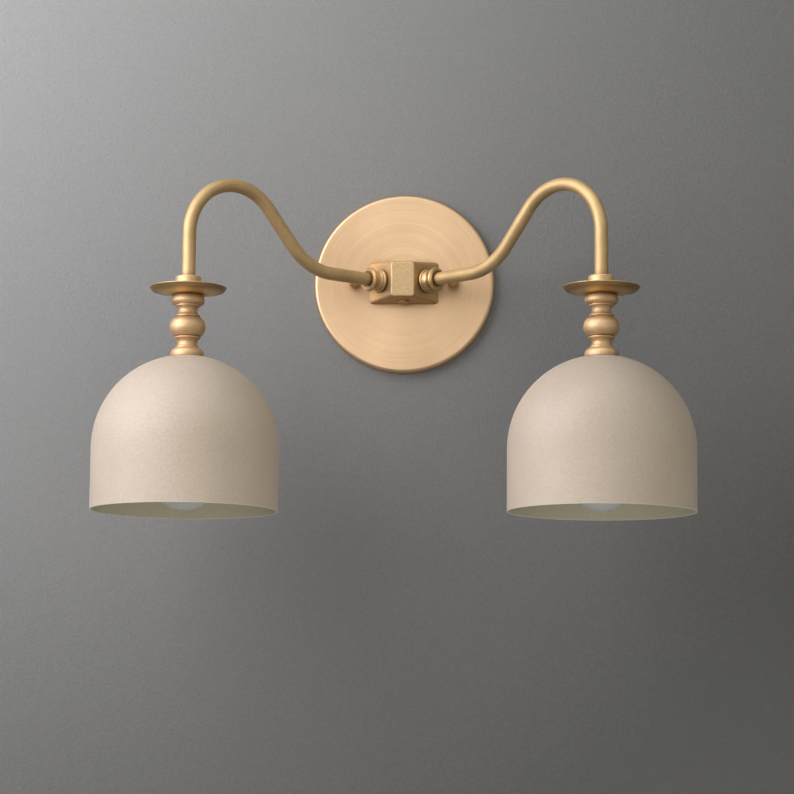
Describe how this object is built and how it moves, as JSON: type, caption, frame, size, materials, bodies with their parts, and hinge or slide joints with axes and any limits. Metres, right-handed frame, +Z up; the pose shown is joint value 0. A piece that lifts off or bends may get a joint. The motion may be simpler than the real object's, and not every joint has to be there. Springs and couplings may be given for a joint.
{
  "type": "double arm wall sconce",
  "caption": "Wall sconce with a round brass backplate, a tapered hub and two swept brass arms that each carry a turned neck and a metal dome shade with a bulb.",
  "frame": {"origin": "middle of the backplate on the wall, which is the middle of the two junction box slots", "axes": "+Z up, +X to the right seen from the room, the wall is Y = 0 and the room is at -Y"},
  "size_m": [0.3958, 0.1852, 0.2355],
  "materials": {
    "zinc_steel": "zinc plated, dull",
    "stud_brass": "plain threaded brass",
    "ground_screw_steel": "green ground screw",
    "plate_brass": "satin brass, brushed in rings",
    "nut_brass": "satin brass",
    "cast_brass": "cast satin brass with a fine grain",
    "grommet_rubber": "black rubber",
    "turned_brass": "turned satin brass",
    "tube_brass": "satin brass tube",
    "spun_brass": "spun satin brass",
    "shade_paint": "matte putty powder coat",
    "holder_porcelain": "white glazed porcelain",
    "shell_brass": "bright brass sheet",
    "frosted_glass": "frosted inside",
    "bulb_aluminium": "plain aluminium and solder",
    "bulb_ceramic": "dark insulating glass",
    "live_insulation": "black insulation",
    "neutral_insulation": "white insulation"
  },
  "bodies": {
    "fixture": {"mounting_strap": "zinc_steel", "strap_studs": "stud_brass", "ground_screw": "ground_screw_steel", "backplate": "plate_brass", "hub_body": "cast_brass", "hub_plug": "cast_brass", "hub_screws": "zinc_steel", "wire_grommet": "grommet_rubber", "left_arm_coupling": "turned_brass", "left_coupling_nut": "zinc_steel", "left_arm_tube": "tube_brass", "left_collar": "turned_brass", "left_bobeche": "spun_brass", "left_neck": "turned_brass", "left_neck_nipple": "zinc_steel", "left_shade": "shade_paint", "left_shade_washer": "zinc_steel", "left_shade_nut": "zinc_steel", "left_lampholder_cap": "holder_porcelain", "left_lampholder_body": "holder_porcelain", "left_screw_shell": "shell_brass", "left_centre_contact": "shell_brass", "left_live_wire": "live_insulation", "left_neutral_wire": "neutral_insulation", "right_arm_coupling": "turned_brass", "right_coupling_nut": "zinc_steel", "right_arm_tube": "tube_brass", "right_collar": "turned_brass", "right_bobeche": "spun_brass", "right_neck": "turned_brass", "right_neck_nipple": "zinc_steel", "right_shade": "shade_paint", "right_shade_washer": "zinc_steel", "right_shade_nut": "zinc_steel", "right_lampholder_cap": "holder_porcelain", "right_lampholder_body": "holder_porcelain", "right_screw_shell": "shell_brass", "right_centre_contact": "shell_brass", "right_live_wire": "live_insulation", "right_neutral_wire": "neutral_insulation"},
    "left_bulb": {"left_bulb_glass": "frosted_glass", "left_bulb_cap": "bulb_aluminium", "left_bulb_insulator": "bulb_ceramic", "left_bulb_contact": "bulb_aluminium"},
    "right_bulb": {"right_bulb_glass": "frosted_glass", "right_bulb_cap": "bulb_aluminium", "right_bulb_insulator": "bulb_ceramic", "right_bulb_contact": "bulb_aluminium"},
    "left_nut": {"left_cap_nut": "nut_brass"},
    "right_nut": {"right_cap_nut": "nut_brass"}
  },
  "joints": [
    {"name": "left_bulb_lift_out", "type": "slide", "parent": "fixture", "child": "left_bulb", "axis": [0, 0, -1], "range_m": [0, 0.095]},
    {"name": "right_bulb_lift_out", "type": "slide", "parent": "fixture", "child": "right_bulb", "axis": [0, 0, -1], "range_m": [0, 0.095]},
    {"name": "left_cap_nut_unscrew", "type": "slide", "parent": "fixture", "child": "left_nut", "axis": [0, -1, 0], "range_m": [0, 0.005]},
    {"name": "right_cap_nut_unscrew", "type": "slide", "parent": "fixture", "child": "right_nut", "axis": [0, -1, 0], "range_m": [0, 0.005]}
  ]
}
